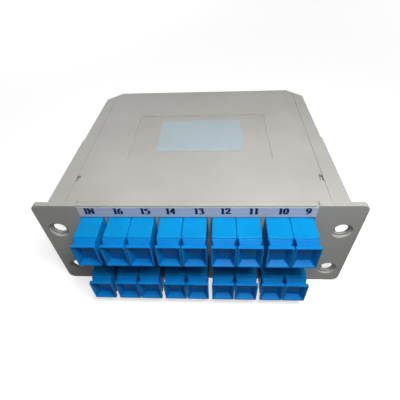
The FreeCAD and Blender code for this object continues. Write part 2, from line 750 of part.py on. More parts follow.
def write_parts():
    os.makedirs("parts", exist_ok=True)
    for node in nodes:
        node.Shape.exportStep(f"parts/{node.Label}.step")
        box = node.Shape.BoundBox
        print(f"{node.Label}: {len(node.Shape.Solids)} solid(s), {node.Shape.Volume:.0f} mm3, "
              f"x {box.XMin:.2f}..{box.XMax:.2f}, y {box.YMin:.2f}..{box.YMax:.2f}, "
              f"z {box.ZMin:.2f}..{box.ZMax:.2f}")


def build_all():
    fill_sheet()
    build_housing()
    build_cover()
    build_plate("label", "label_width", "label_depth", "label_thickness",
                "-label_width / 2", "label_front", "panel_height - recess_sink")
    build_plate("number_strip", "2 * strip_half", "strip_thickness", "strip_high - strip_low",
                "-strip_half", "-strip_thickness", "strip_low")
    for name, across, height in ports():
        build_adapter(name, across, height)
        build_dust_cap(name, cap_place(name, across), height)
        if name != "spare":
            build_plug(name, across, height)
    build_sleeves()
    build_module()
    build_harness()
    document.recompute()
    check_document()
    write_parts()


build_all()
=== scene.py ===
# %% [markdown]
# # A plug-in fibre splitter cassette
#
# This object is a flat grey box with a wide front panel. Two rows of blue ports stand in
# the panel, each closed by a blue dust cap. The solid model gives every piece its place and
# its real size, so the scene starts by loading it as a fixed frame. After that each step
# makes one piece or one finish, and hangs it on the body that it moves with.

import bmesh
import bpy
import numpy as np
from mathutils import Matrix, Vector


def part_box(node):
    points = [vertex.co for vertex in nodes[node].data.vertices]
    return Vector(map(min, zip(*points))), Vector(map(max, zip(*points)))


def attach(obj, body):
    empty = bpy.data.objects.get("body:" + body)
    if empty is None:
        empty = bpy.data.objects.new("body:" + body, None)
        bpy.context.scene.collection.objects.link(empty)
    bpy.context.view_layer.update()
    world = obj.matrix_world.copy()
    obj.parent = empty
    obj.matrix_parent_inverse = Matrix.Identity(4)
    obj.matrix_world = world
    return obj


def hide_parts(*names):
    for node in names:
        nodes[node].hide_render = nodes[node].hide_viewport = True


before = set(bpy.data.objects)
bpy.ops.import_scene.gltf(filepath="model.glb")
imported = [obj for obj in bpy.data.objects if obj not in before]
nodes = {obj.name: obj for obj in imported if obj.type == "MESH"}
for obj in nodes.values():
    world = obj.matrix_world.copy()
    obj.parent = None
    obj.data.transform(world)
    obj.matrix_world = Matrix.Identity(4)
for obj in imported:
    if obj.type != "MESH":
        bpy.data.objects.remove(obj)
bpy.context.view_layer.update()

MM = 0.001

# %% [markdown]
# ## Colours and nodes
#
# Colours are picked as sRGB hex values, which is how a paint chart gives them. Blender mixes
# light in linear values, so one function turns a hex value into those. A second function
# adds a node with its settings and its links in one line, so that each finish further down
# reads as a short list.

# %% A colour and a node
def linear(hex_value):
    """Linear RGBA of an sRGB hex value.

    A value v from 0 to 1 is v / 12.92 near black, and ((v + 0.055) / 1.055) ** 2.4 above.
    """
    value = np.array([int(hex_value[i:i + 2], 16) for i in (1, 3, 5)]) / 255
    value = np.where(value <= 0.04045, value / 12.92, ((value + 0.055) / 1.055) ** 2.4)
    return (*value.tolist(), 1.0)


def add(tree, kind, inputs=(), **settings):
    """Adds one node: settings are its properties, inputs gives sockets a value or an output."""
    node = tree.nodes.new(kind)
    for name, value in settings.items():
        setattr(node, name, value)
    for socket, value in dict(inputs).items():
        if isinstance(value, bpy.types.NodeSocket):
            tree.links.new(value, node.inputs[socket])
        else:
            node.inputs[socket].default_value = value
    return node


def start_finish(name, **constants):
    """A new material with only a Principled shader, its constant values and Object coordinates."""
    material = bpy.data.materials.new(name)
    material.use_nodes = True
    tree = material.node_tree
    tree.nodes.clear()
    shader = add(tree, "ShaderNodeBsdfPrincipled", {
        key.replace("_", " "): value for key, value in constants.items()})
    out = add(tree, "ShaderNodeOutputMaterial")
    tree.links.new(shader.outputs["BSDF"], out.inputs["Surface"])
    place = add(tree, "ShaderNodeTexCoord").outputs["Object"]
    return material, tree, shader, place


print("mid grey #808080 is", round(linear("#808080")[0], 3), "in linear light")

# %% [markdown]
# ### Moulded ABS with a spark-eroded grain
#
# The housing and the cover are injection-moulded ABS. The mould was spark-eroded, which
# leaves a fine matt grain of about 0.1 mm. That is finer than the render can show, so the
# bump here is drawn at 0.45 mm. A slow mottling of about 20 mm follows the flow of the
# plastic, and moves the colour a little between a warm and a cool light grey.

# %% Make the body's finish
def grain(tree, place, size_mm, detail=2.0, roughness=0.5):
    """Noise whose features are about size_mm across, from 0 to 1."""
    return add(tree, "ShaderNodeTexNoise", {
        "Vector": place, "Scale": 1 / (size_mm * MM), "Detail": detail,
        "Roughness": roughness}).outputs["Fac"]


def blend_colours(tree, factor, first, second):
    """Colour between two hex values, by a factor from 0 to 1."""
    ramp = add(tree, "ShaderNodeValToRGB", {"Fac": factor})
    ramp.color_ramp.elements[0].position = 0.3
    ramp.color_ramp.elements[1].position = 0.7
    ramp.color_ramp.elements[0].color = linear(first)
    ramp.color_ramp.elements[1].color = linear(second)
    return ramp.outputs["Color"]


def between(tree, factor, low, high):
    """A value between low and high, by a factor that is mostly between 0.3 and 0.7."""
    return add(tree, "ShaderNodeMapRange", {
        "Value": factor, "From Min": 0.3, "From Max": 0.7, "To Min": low,
        "To Max": high}).outputs["Result"]


def dented(tree, shader, height, depth_mm, strength=1.0):
    """Lays a bump of that depth over the shader's normal."""
    bump = add(tree, "ShaderNodeBump", {
        "Height": height, "Distance": depth_mm * MM, "Strength": strength})
    tree.links.new(bump.outputs["Normal"], shader.inputs["Normal"])


def moulded_abs():
    """Warm light grey ABS: IOR 1.54, matt from its grain, faintly mottled."""
    material, tree, shader, place = start_finish("abs_spark_eroded_grey", IOR=1.54,
                                                 Specular_IOR_Level=0.2)
    mottle = grain(tree, place, 20)
    fine = grain(tree, place, 0.45, detail=1.0)
    tree.links.new(blend_colours(tree, mottle, "#b3b2ad", "#bcbab5"), shader.inputs["Base Color"])
    tree.links.new(between(tree, fine, 0.5, 0.62), shader.inputs["Roughness"])
    dented(tree, shader, fine, 0.02, 0.6)
    return material


BODY_ABS = moulded_abs()
print("body finish:", BODY_ABS.name)

# %% [markdown]
# ### Glossy PBT for the ports
#
# Adapters and caps are moulded in blue PBT in a polished mould, so they shine more than the
# body. Two things keep the shine from looking like glass: a shallow waviness of a few
# millimetres, where the plastic shrank, and a haze that changes the roughness. The blue is
# strong, so the reflection is kept low, or it would wash the colour out.

# %% Make the blue finishes
def polished_pbt(name, light, dark, roughness):
    """Blue PBT: IOR 1.5, a polished face with a faint sink and haze."""
    material, tree, shader, place = start_finish(name, IOR=1.5, Specular_IOR_Level=0.07)
    flow = grain(tree, place, 7)
    haze = grain(tree, place, 1.2, detail=3.0)
    tree.links.new(blend_colours(tree, flow, dark, light), shader.inputs["Base Color"])
    tree.links.new(between(tree, haze, roughness - 0.06, roughness + 0.08),
                   shader.inputs["Roughness"])
    dented(tree, shader, haze, 0.012, 0.5)
    return material


ADAPTER_BLUE = polished_pbt("pbt_polished_adapter_blue", "#0a9ade", "#0892d6", 0.36)
CAP_BLUE = polished_pbt("pbt_polished_cap_blue", "#0a8cdd", "#0882d4", 0.36)
PLUG_BLUE = polished_pbt("pbt_polished_plug_blue", "#1a6cc0", "#1562b4", 0.4)
print("blue finishes:", ADAPTER_BLUE.name, CAP_BLUE.name, PLUG_BLUE.name)

# %% [markdown]
# ### Printed films
#
# The label and the number strip are self-adhesive polyester film. Film is nearly even, so
# its detail is small: a satin gloss that varies where the glue pulls, and a fine paper-like
# tooth in the coating that takes the ink, about 0.3 mm here.

# %% Make the film finishes and the ink
def coated_film(name, first, second, roughness):
    """Self-adhesive film: IOR 1.49, satin, with a fine tooth."""
    material, tree, shader, place = start_finish(name, IOR=1.49)
    cloud = grain(tree, place, 9)
    tooth = grain(tree, place, 0.3, detail=1.0)
    tree.links.new(blend_colours(tree, cloud, first, second), shader.inputs["Base Color"])
    tree.links.new(between(tree, cloud, roughness - 0.06, roughness + 0.06),
                   shader.inputs["Roughness"])
    dented(tree, shader, tooth, 0.006, 0.5)
    return material


def printed_ink():
    """Navy ink on film: a thin layer that breaks up a little at 0.25 mm."""
    material, tree, shader, place = start_finish("ink_printed_navy", IOR=1.45)
    patch = grain(tree, place, 0.25, detail=1.0)
    tree.links.new(blend_colours(tree, patch, "#0a0a3a", "#101048"), shader.inputs["Base Color"])
    tree.links.new(between(tree, patch, 0.35, 0.5), shader.inputs["Roughness"])
    return material


LABEL_FILM = coated_film("film_coated_pale_blue", "#a9b9be", "#b0bfc4", 0.42)
STRIP_FILM = coated_film("film_coated_lavender", "#d2d0dc", "#d9d7e0", 0.38)
INK = printed_ink()
print("films and ink:", LABEL_FILM.name, STRIP_FILM.name, INK.name)

# %% [markdown]
# ### Finishes inside the cassette
#
# The sleeves, the splitter module and the fibre are out of sight behind the cover, but they
# are real pieces of the part, so each gets the finish of the real thing. The sleeves are
# zirconia, sintered and ground. The module is a small tube of extruded aluminium, drawn
# along its length, so its marks are long in X. The fibre has a smooth pale jacket.

# %% Make the inner finishes
def ground_zirconia():
    """Zirconia ceramic: IOR 2.1, ivory, ground smooth with rings of about 0.1 mm."""
    material, tree, shader, place = start_finish("zirconia_ground_ivory", IOR=2.1)
    rings = add(tree, "ShaderNodeTexWave", {
        "Vector": place, "Scale": 1 / (2.5 * MM), "Distortion": 2.0}, bands_direction="Y")
    tree.links.new(blend_colours(tree, grain(tree, place, 3), "#e6e2d4", "#efece2"),
                   shader.inputs["Base Color"])
    tree.links.new(between(tree, rings.outputs["Fac"], 0.16, 0.24), shader.inputs["Roughness"])
    return material


def drawn_aluminium():
    """Clear anodised aluminium, drawn along X: a metal with streaks 0.2 mm wide."""
    material, tree, shader, place = start_finish("aluminium_drawn_anodised", Metallic=1.0)
    stretched = add(tree, "ShaderNodeMapping", {"Vector": place, "Scale": (0.03, 1, 1)})
    streak = grain(tree, stretched.outputs["Vector"], 0.2, detail=2.0)
    tree.links.new(blend_colours(tree, streak, "#b9bbbd", "#c9cbcc"), shader.inputs["Base Color"])
    tree.links.new(between(tree, streak, 0.28, 0.42), shader.inputs["Roughness"])
    dented(tree, shader, streak, 0.004, 0.5)
    return material


def fibre_jacket():
    """Pale jacket of the fibre: soft PVC, a little cloudy."""
    material, tree, shader, place = start_finish("pvc_extruded_fibre_jacket", IOR=1.53)
    cloud = grain(tree, place, 5)
    tree.links.new(blend_colours(tree, cloud, "#dedcd0", "#e8e6dc"), shader.inputs["Base Color"])
    tree.links.new(between(tree, cloud, 0.38, 0.5), shader.inputs["Roughness"])
    return material


ZIRCONIA, ALUMINIUM, JACKET = ground_zirconia(), drawn_aluminium(), fibre_jacket()
print("inner finishes:", ZIRCONIA.name, ALUMINIUM.name, JACKET.name)

# %% [markdown]
# ### Dressing
#
# Every solid takes its finish here, also those that a modelled piece replaces further down.
# A node brings plain slots with it, so they are cleared and one slot is filled.

# %% Dress the solids
def finish_for(name):
    """The finish of a solid, from its own name or from the start of its name."""
    own = {"housing": BODY_ABS, "cover": BODY_ABS, "label": LABEL_FILM,
           "number_strip": STRIP_FILM, "alignment_sleeves": ZIRCONIA,
           "plc_module": ALUMINIUM, "fibre_harness": JACKET}
    family = {"adapter": ADAPTER_BLUE, "dust_cap": CAP_BLUE, "inner_plug": PLUG_BLUE}
    return own.get(name) or family[name.rpartition("_")[0]]


def dress(piece, material):
    """Gives a piece one slot with that material."""
    piece.data.materials.clear()
    piece.data.materials.append(material)
    piece.data.polygons.foreach_set("material_index", np.zeros(len(piece.data.polygons), int))


for name, node in nodes.items():
    dress(node, finish_for(name))
print(len(nodes), "solids dressed in", len({finish_for(n).name for n in nodes}), "finishes")

# %% [markdown]
# ## Ports
#
# The ports repeat eighteen times, so an adapter and a cap are each worked out once, round
# the middle of a port, and then put in their places. The middle of a port is the middle of
# its adapter's box, but a cap stands a little to the side, where the two of a pair push each
# other apart. The number strip is stuck on the panel's front face, so its back gives that
# face, and the distances "ahead" start from there.

# %% Read the place of every port
PORTS = [name[len("adapter_"):] for name in nodes if name.startswith("adapter_")]
PANEL_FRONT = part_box("number_strip")[1].y / MM


def middle(node):
    """Middle of a solid's box, in millimetres."""
    return sum((np.array(corner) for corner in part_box(node)), np.zeros(3)) / 2 / MM


def port_place(port, across_of):
    """Where a port's axis meets the panel: across from one piece, height from the adapter."""
    return np.array([middle(f"{across_of}_{port}")[0], PANEL_FRONT, middle(f"adapter_{port}")[2]])


print(len(PORTS), "ports; the panel's front face is at y =", round(PANEL_FRONT, 2), "mm")

# %% [markdown]
# ### Rings carried along the port
#
# Adapters and caps are moulded boxes whose every corner is a little round. Each is one
# surface: a rounded rectangle is carried along the port's axis while its width, height and
# middle change. One parameter runs round the rectangle, the other along the axis. A few
# stations give the form, and softening the path's own corners gives the moulded edges, so
# no bevel is needed afterwards. Straight sides carry extra points close to each corner,
# which keep the flat faces flat when the surface is shaded smooth.

# %% Rounded rectangles and softened paths
QUARTER = np.linspace(0, np.pi / 2, 4)
HOLD_MM, HOLD_SHARE = 0.2, 0.45


def rings(stations):
    """Rings of points, one for each station (ahead, width, height, corner, raised), in mm.

    Each corner of a ring is a quarter turn of angle a about a centre that lies half the
    width and half the height out, less the corner's radius. A point is the centre plus the
    radius times (cos a, sin a). One more point on each side of the turn, HOLD_MM along the
    straight or HOLD_SHARE of its half, holds the flat. Along the axis, y is minus "ahead".
    """
    ahead, width, height, corner, raised = (column[:, None, None] for column in stations.T)
    signs = np.array([[1, 1], [-1, 1], [-1, -1], [1, -1]])
    turn = np.arange(4)[:, None] * np.pi / 2 + QUARTER
    arc = np.stack([np.cos(turn), np.sin(turn)], -1)
    side, level = signs[None, :, None, 0], signs[None, :, None, 1]
    x = side * (width / 2 - corner) + corner * arc[None, :, :, 0]
    z = level * (height / 2 - corner) + corner * arc[None, :, :, 1]
    hold = np.minimum(HOLD_MM, (np.minimum(width, height) / 2 - corner) * HOLD_SHARE)
    before = np.stack([np.sin(turn[:, 0]), -np.cos(turn[:, 0])], -1)
    after = np.stack([-np.sin(turn[:, -1]), np.cos(turn[:, -1])], -1)
    x = np.concatenate([x[:, :, :1] + hold * before[None, :, None, 0], x,
                        x[:, :, -1:] + hold * after[None, :, None, 0]], 2)
    z = np.concatenate([z[:, :, :1] + hold * before[None, :, None, 1], z,
                        z[:, :, -1:] + hold * after[None, :, None, 1]], 2)
    x, z = (part.reshape(len(stations), -1) for part in (x, z))
    z = z + raised[:, :, 0]
    return np.stack([x, -ahead[:, :, 0] + 0 * x, z], -1)


def soften(stations, reach=0.25, steps=3):
    """The same path with every inner corner turned into a short curve.

    A corner P becomes the quadratic Bezier curve from A to B that is pulled towards P. A and
    B lie "reach" millimetres from P on its two legs, or 0.3 of a leg where that is less. One
    more station beyond A and one beyond B, half as far again, hold the legs straight.
    """
    stations = np.asarray(stations, float)
    legs = np.diff(stations, axis=0)
    length = np.maximum(np.linalg.norm(legs[:, :3] * [1, 0.5, 0.5], axis=1), 1e-6)[:, None]
    share = np.minimum(reach / length, 0.3)
    corner, before, after = stations[1:-1], legs[:-1] * share[:-1], legs[1:] * share[1:]
    t = np.linspace(0, 1, steps)[None, :, None]
    curve = ((1 - t) ** 2 * (corner - before)[:, None] + 2 * t * (1 - t) * corner[:, None]
             + t ** 2 * (corner + after)[:, None])
    held = np.concatenate([(corner - 1.5 * before)[:, None], curve,
                           (corner + 1.5 * after)[:, None]], axis=1)
    return np.vstack([stations[:1], held.reshape(-1, stations.shape[1]), stations[-1:]])


sample = rings(soften([(0, 9, 12, 0.4, 0), (4, 9, 12, 0.4, 0), (5, 7, 10, 0.4, 0)]))
print("a short box has", sample.shape[0], "rings of", sample.shape[1], "points")

# %% [markdown]
# A grid of points becomes a mesh when each point is joined to its neighbours. Each ring
# closes on itself, and the first and last ring are closed by one face each.

# %% Turn grids of points into a piece
def new_piece(name, points, faces, material):
    """One object at the origin from points in millimetres and lists of their numbers."""
    mesh = bpy.data.meshes.new(name)
    mesh.from_pydata((points * MM).tolist(), [], faces)
    mesh.shade_smooth()
    mesh.materials.append(material)
    piece = bpy.data.objects.new(name, mesh)
    bpy.context.scene.collection.objects.link(piece)
    return piece


def ring_piece(name, grids, material, move=(0, 0, 0)):
    """One object from closed grids [ring, round, xyz] in millimetres, moved in its mesh."""
    points, faces, first = [], [], 0
    for grid in grids:
        index = first + np.arange(grid.shape[0] * grid.shape[1]).reshape(grid.shape[:2])
        here, along = index[:-1], index[1:]
        quads = np.stack([np.roll(here, -1, 1), here, along, np.roll(along, -1, 1)], -1)
        faces += quads.reshape(-1, 4).tolist() + [index[0].tolist(), index[-1][::-1].tolist()]
        points.append(grid.reshape(-1, 3) + np.asarray(move))
        first += index.size
    return new_piece(name, np.vstack(points), faces, material)


def volume(piece):
    """Signed volume of a closed mesh in mm3, above 0 when the faces point outwards."""
    shape = bmesh.new()
    shape.from_mesh(piece.data)
    found = shape.calc_volume(signed=True) / MM ** 3
    shape.free()
    return found


print("a ring of", sample.shape[1], "points takes as many faces to the next ring")

# %% [markdown]
# ### Dust caps
#
# A dust cap is a square tube that fits in the adapter's socket, with a grip in front. The
# grip starts as wide as the adapter, slopes in to a neck for the fingertips, and ends in a
# wide head. The head is hollowed to a shallow funnel. The path below starts in the funnel,
# comes out over the head, runs back over the grip and the tube, and ends inside the tube,
# so a single surface has every wall of the cap.

# %% Make the dust caps
CAP_PATH = [
    # ahead, width, height, corner, raised
    (11.5, 4.0, 6.8, 0.3, -0.45), (11.5, 5.3, 8.1, 0.4, -0.45), (14.0, 8.6, 10.9, 0.4, -0.45),
    (14.0, 9.5, 12.0, 0.5, -0.45),
    (12.62, 9.46, 11.94, 0.5, -0.45), (12.6, 7.8, 10.4, 0.55, -0.45),
    (10.65, 8.65, 12.62, 0.45, 0), (10.35, 9.1, 12.8, 0.4, 0), (10.05, 8.8, 12.4, 0.4, 0),
    (10.05, 7.0, 8.8, 0.4, 0),
    (2.0, 7.0, 8.8, 0.4, 0), (2.0, 5.6, 7.4, 0.3, 0), (10.5, 5.6, 7.4, 0.3, 0),
    (10.5, 4.6, 6.4, 0.3, 0),
]


def dust_cap(port):
    """One cap as a single shell of rounded rectangles along the softened path."""
    grid = rings(soften(CAP_PATH, reach=0.22, steps=4))
    cap = ring_piece(f"cap_{port}", [grid], CAP_BLUE, port_place(port, "dust_cap"))
    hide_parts(f"dust_cap_{port}")
    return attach(cap, f"dust_cap_{port}")


caps = [dust_cap(port) for port in PORTS]
print(len(caps), "caps of", len(caps[0].data.polygons), "faces,", round(volume(caps[0])), "mm3")

# %% [markdown]
# ### Adapters
#
# An SC adapter is a block with a socket at each end and a web between them, and a barrel
# for the ferrules stands through the web. Its whole skin is again one surface, which now
# closes on itself both ways, like a ring doughnut: from the web out through the front
# socket, back over the outside, in through the rear socket, over the barrel and through
# its bore to where it began. The barrel's round sections are rectangles whose corners take
# up nearly all of the side, so the number of points never changes.
#
# The sockets are keyed. A groove for the plug's key runs along the right-hand wall, so each
# ring has four more points on that side. They step out where the section has a groove, and
# lie flat in the wall where it has none.

# %% Make the adapters
ADAPTER_PATH = [
    # ahead, width, height, corner, raised, groove
    (-2.55, 7.5, 9.1, 0.3, 0, 0.5), (9.9, 7.5, 9.1, 0.3, 0, 0.5), (9.9, 8.8, 12.4, 0.4, 0, 0),
    (9.6, 9.2, 12.8, 0.4, 0, 0), (-17.0, 9.2, 12.8, 0.4, 0, 0), (-17.0, 7.5, 9.1, 0.3, 0, 0.5),
    (-4.55, 7.5, 9.1, 0.3, 0, 0.5), (-4.55, 5.0, 5.0, 2.4, 0, 0), (-10.05, 5.0, 5.0, 2.4, 0, 0),
    (-10.05, 3.4, 3.4, 1.6, 0, 0), (2.95, 3.4, 3.4, 1.6, 0, 0), (2.95, 5.0, 5.0, 2.4, 0, 0),
    (-2.55, 5.0, 5.0, 2.4, 0, 0), (-2.55, 7.5, 9.1, 0.3, 0, 0.5),
]
STOP_LIP = [(-2.35, 5.8, 0.8, 0.2, 0), (-2.45, 6.0, 1.0, 0.2, 0), (-3.45, 6.0, 1.0, 0.2, 0),
            (-3.55, 5.8, 0.8, 0.2, 0)]
LIP_RAISED = 6.5
KEY_HALF, KEY_SHARE = 1.2, 0.6


def key_grooved(stations):
    """The rings of these stations with four points more, the groove's, in the right-hand side.

    At the heights -g and +g the ring steps from x to x + groove and back. g is KEY_HALF, or
    KEY_SHARE of half the straight side where that is less. The step leans by 0.02 g.
    """
    grid = rings(stations[:, :5])
    width, height, corner, groove = (stations[:, column] for column in (1, 2, 3, 5))
    half = np.minimum(KEY_HALF, (height / 2 - corner) * KEY_SHARE)
    x = width[:, None] / 2 + groove[:, None] * [0, 1, 1, 0]
    z = half[:, None] * [-1, -0.98, 0.98, 1] + stations[:, 4:5]
    y = np.repeat(-stations[:, :1], 4, axis=1)
    return np.concatenate([grid, np.stack([x, y, z], -1)], axis=1)


def doughnut_piece(name, grid, material, move):
    """One object from a grid [ring, round, xyz] in mm that closes on itself both ways."""
    index = np.arange(grid.shape[0] * grid.shape[1]).reshape(grid.shape[:2])
    along = np.roll(index, -1, 0)
    quads = np.stack([np.roll(index, -1, 1), index, along, np.roll(along, -1, 1)], -1)
    return new_piece(name, grid.reshape(-1, 3) + move, quads.reshape(-1, 4).tolist(), material)


def adapter(port):
    """One adapter's skin, with a stop lip above and one below."""
    path = soften(ADAPTER_PATH, reach=0.25, steps=4)[:-1]
    place = port_place(port, "adapter")
    skin = doughnut_piece(f"adapter_body_{port}", key_grooved(path), ADAPTER_BLUE, place)
    lips = [rings(np.array(STOP_LIP) + [0, 0, 0, 0, side * LIP_RAISED]) for side in (1, -1)]
    lip = ring_piece(f"adapter_lips_{port}", lips, ADAPTER_BLUE, place)
    for piece in (skin, lip):
        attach(piece, "cassette")
    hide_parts(f"adapter_{port}")
    return skin


adapters = [adapter(port) for port in PORTS]
print(len(adapters), "adapters of", len(adapters[0].data.polygons), "faces,",
      round(volume(adapters[0])), "mm3")

# %% [markdown]
# ## Soft edges on the body
#
# The housing and its cover came out of the mould with edges that are a fraction of a
# millimetre round, and those edges catch the light along the panel, the rails and the
# label's recess. The solids have them sharp, so each gets a merged copy. Its long outer
# edges get a weight, and a bevel rounds each by its weight. The panel's chamfers are kept,
# and are only shaded as a curve. Normals are weighted by area, so flat faces stay flat.

# %% Round the long edges
# All in millimetres. The recess is 0.45 deep, so its edges lie in the top band too.
SOFTEST, SHORT_EDGE, TOP_BAND, TOUCH = 0.4, 2, 0.6, 0.2
RECESS_BACK, RECESS_HALF, SEAM_HALF = 27.65, 33, 51.5
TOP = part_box("housing")[1].z / MM
PANEL_BACK = PANEL_FRONT + 2.3
SOFTNESS = {"recess back": 1.0, "recess": 0.4, "outside": 0.6, "seam": 0.15, "sharp": 0.0}


def edge_place(edge):
    """Where an edge of a moulded solid lies, as a key of SOFTNESS.

    Only convex edges of 60 degrees or more are soft, and only on the top or on the panel.
    Where the cover meets the panel, the edge stays sharp.
    """
    if len(edge.link_faces) < 2 or not edge.is_convex or edge.calc_face_angle() < np.radians(60):
        return "sharp"
    x, y, z = (np.array([v.co[axis] for v in edge.verts]) / MM for axis in range(3))
    on_top, on_panel = z.min() > TOP - TOP_BAND, y.max() < PANEL_BACK + TOUCH
    if edge.calc_length() < SHORT_EDGE * MM or not (on_top or on_panel):
        return "sharp"
    if on_panel:
        at_cover = y.max() > PANEL_BACK - TOUCH and np.abs(x).max() < SEAM_HALF
        return "sharp" if at_cover else "outside"
    if np.abs(x).max() < RECESS_HALF:
        return "recess back" if y.min() > RECESS_BACK else "recess"
    return "seam" if np.abs(x).min() < SEAM_HALF else "outside"


SMALL_FACE, SMOOTH_BELOW = 100, np.radians(50)


def is_narrow_bend(edge):
    """True where a chamfer or a facet of a round meets its neighbour, and not a wide slope.

    One of the two faces is then below SMALL_FACE, in square millimetres.
    """
    if len(edge.link_faces) < 2:
        return False
    smallest = min(face.calc_area() for face in edge.link_faces) / MM ** 2
    return bool(edge.calc_face_angle() < SMOOTH_BELOW and smallest < SMALL_FACE)


def soft_edged(name):
    """A merged copy of a moulded solid whose long outer edges are rounded."""
    mesh = nodes[name].data.copy()
    shape = bmesh.new()
    shape.from_mesh(mesh)
    bmesh.ops.remove_doubles(shape, verts=shape.verts, dist=1e-6)
    bmesh.ops.recalc_face_normals(shape, faces=shape.faces)
    bmesh.ops.dissolve_limit(shape, angle_limit=np.radians(0.5), verts=shape.verts,
                             edges=shape.edges)
    weight = shape.edges.layers.float.new("bevel_weight_edge")
    for face in shape.faces:
        face.smooth = True
    for edge in shape.edges:
        edge[weight] = SOFTNESS[edge_place(edge)]
        edge.smooth = is_narrow_bend(edge)
    chosen = sum(edge[weight] > 0 for edge in shape.edges)
    shape.to_mesh(mesh)
    shape.free()
    piece = bpy.data.objects.new(f"{name}_soft", mesh)
    bpy.context.scene.collection.objects.link(piece)
    bevel = piece.modifiers.new("edges", "BEVEL")
    bevel.limit_method, bevel.width, bevel.segments = "WEIGHT", SOFTEST * MM, 2
    bevel.use_clamp_overlap = False
    flat = piece.modifiers.new("flat_faces", "WEIGHTED_NORMAL")
    flat.keep_sharp = True
    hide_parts(name)
    print(name, "has", chosen, "rounded edges and", len(mesh.polygons), "faces")
    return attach(piece, "cassette")


for name in ("housing", "cover"):
    soft_edged(name)

# %% [markdown]
# ## Numbers on the strip
#
# The strip over the upper row carries the port numbers, in bold letters with serifs. Each
# sign is drawn as a few pen strokes. A stroke is a smooth curve through some points, and
# it becomes a ribbon whose width depends on its direction, as with a broad nib: wide when
# it runs up or down, thin when it runs across. That is what gives the look of print.

# %% Strokes of a broad nib
SIGNS = {
    "1": [[(0.31, 0), (0.31, 1)], [(0.31, 0.98), (0.13, 0.84)], [(0.12, 0.03), (0.5, 0.03)]],
    "2": [[(0.09, 0.72), (0.15, 0.92), (0.3, 0.98), (0.46, 0.89), (0.47, 0.7), (0.36, 0.45),
           (0.2, 0.22), (0.07, 0.06)], [(0.07, 0.07), (0.3, 0.08), (0.53, 0.07)],
          [(0.53, 0.05), (0.56, 0.24)]],
    "3": [[(0.09, 0.78), (0.19, 0.95), (0.36, 0.95), (0.45, 0.78), (0.37, 0.6), (0.22, 0.54)],
          [(0.22, 0.54), (0.42, 0.48), (0.5, 0.27), (0.4, 0.07), (0.22, 0.02), (0.07, 0.1)]],
    "4": [[(0.4, 0), (0.4, 1)], [(0.4, 0.97), (0.2, 0.62), (0.03, 0.32)],
          [(0.03, 0.3), (0.56, 0.3)]],
    "5": [[(0.15, 0.92), (0.52, 0.92)], [(0.16, 0.93), (0.12, 0.57)],
          [(0.12, 0.57), (0.3, 0.62), (0.46, 0.52), (0.5, 0.3), (0.4, 0.09), (0.22, 0.02),
           (0.07, 0.09)]],
    "6": [[(0.47, 0.97), (0.26, 0.84), (0.12, 0.58), (0.1, 0.3), (0.18, 0.07), (0.31, 0.02),
           (0.44, 0.1), (0.49, 0.3), (0.43, 0.51), (0.3, 0.58), (0.16, 0.5)]],
    "0": [[(0.3, 0.98), (0.15, 0.84), (0.1, 0.5), (0.15, 0.16), (0.3, 0.02), (0.45, 0.16),
           (0.5, 0.5), (0.45, 0.84), (0.3, 0.98)]],
    "I": [[(0.2, 0), (0.2, 1)], [(0.05, 0.97), (0.35, 0.97)], [(0.05, 0.03), (0.35, 0.03)]],
    "N": [[(0.12, 0), (0.12, 1)], [(0.1, 0.98), (0.36, 0.5), (0.6, 0.02)],
          [(0.61, 0), (0.61, 1)], [(0, 0.97), (0.16, 0.97)], [(0.02, 0.03), (0.24, 0.03)],
          [(0.5, 0.97), (0.74, 0.97)]],
}
SIGNS["9"] = [[(0.6 - x, 1 - y) for x, y in stroke] for stroke in SIGNS["6"]]


def smooth_line(points, count=24):
    """Catmull-Rom curve through the points.

    Each span is a cubic, and its slope at a point is half the step between the neighbours.
    """
    p = np.array([points[0], *points, points[-1]], float)
    t = np.linspace(0, len(points) - 1, count)
    span = np.minimum(t.astype(int), len(points) - 2)
    u = (t - span)[:, None]
    a, b, c, d = (p[span + shift] for shift in range(4))
    return 0.5 * (2 * b + (c - a) * u + (2 * a - 5 * b + 4 * c - d) * u ** 2
                  + (3 * b - a - 3 * c + d) * u ** 3)


def ribbon(line, thin=0.13, thick=0.29):
    """Two edges of a stroke: the line moved along its normal, by half the nib's width there.

    The width goes from thin to thick with |rise| ** 1.5, where rise is the line's slope
    upwards as a part of its length.
    """
    slope = np.gradient(line, axis=0)
    slope /= np.maximum(np.linalg.norm(slope, axis=1), 1e-9)[:, None]
    width = thin + (thick - thin) * np.abs(slope[:, 1:]) ** 1.5
    normal = np.stack([-slope[:, 1], slope[:, 0]], 1)
    return np.stack([line - normal * width / 2, line + normal * width / 2], 1)


stroke = ribbon(smooth_line(SIGNS["6"][0]))
print("the 6 is one stroke,", np.round(np.ptp(stroke[..., 1]), 2), "times the height of a sign")

# %% [markdown]
# The signs are about 3 mm high, and each word stands roughly over the middle of its port, as on a
# strip that was stuck on by hand. Each stroke lies a few thousandths of a millimetre in front of
# the last one, so that crossing strokes never share a plane. The whole print rides with the
# cassette, like the strip under it.

# %% Print the numbers
SIGN_HEIGHT, SIGN_STRETCH, LAYER = 3.15, 1.1, 0.004
DIGIT_WIDTH, LETTER_WIDTHS = 0.56, {"I": 0.42, "N": 0.72}
# Each word's middle, across, and the middle of all of them, above the floor, in millimetres.
PRINT = {"IN": -41.6, "16": -30.3, "15": -19.6, "14": -9.7, "13": 1.3, "12": 11.4,
         "11": 22.2, "10": 33.2, "9": 42.5}
PRINT_MIDDLE = 47.2
STRIP_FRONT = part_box("number_strip")[0].y / MM


